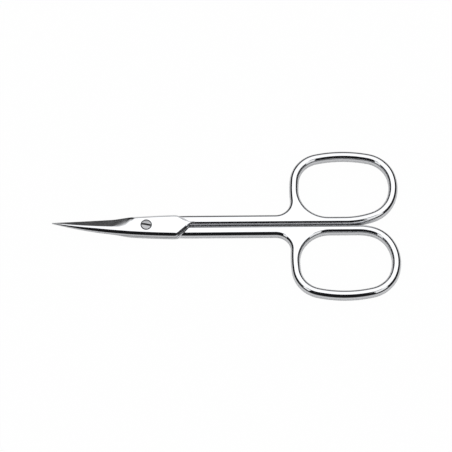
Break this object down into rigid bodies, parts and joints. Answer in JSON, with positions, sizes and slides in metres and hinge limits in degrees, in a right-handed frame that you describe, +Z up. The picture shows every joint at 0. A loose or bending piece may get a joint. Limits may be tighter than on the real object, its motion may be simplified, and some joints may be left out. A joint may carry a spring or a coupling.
{
  "type": "cuticle scissors",
  "caption": "Small manicure scissors with slim upward-curved blades, a slotted pivot screw, straight shanks and oval finger rings; the halves open and close about the pivot.",
  "frame": {"origin": "where the pivot axis meets the flat plane that the closed scissors rest on", "axes": "+X from the pivot towards the finger rings, so the tips point to -X; +Y towards the ring of the front half; +Z up along the pivot axis, towards the screw's head and the way the blades curve"},
  "size_m": [0.0896, 0.0417, 0.0048],
  "materials": {
    "polished_steel": "mirror polished, with ground cutting bevels",
    "screw_steel": "turned and lightly polished"
  },
  "bodies": {
    "rear": {"rear_half": "polished_steel", "pivot_screw": "screw_steel"},
    "front": {"front_half": "polished_steel"}
  },
  "joints": [
    {"name": "open_close", "type": "hinge", "parent": "rear", "child": "front", "pos_m": [0, 0, 0], "axis": [0, 0, 1], "range_deg": [0, 60]}
  ]
}
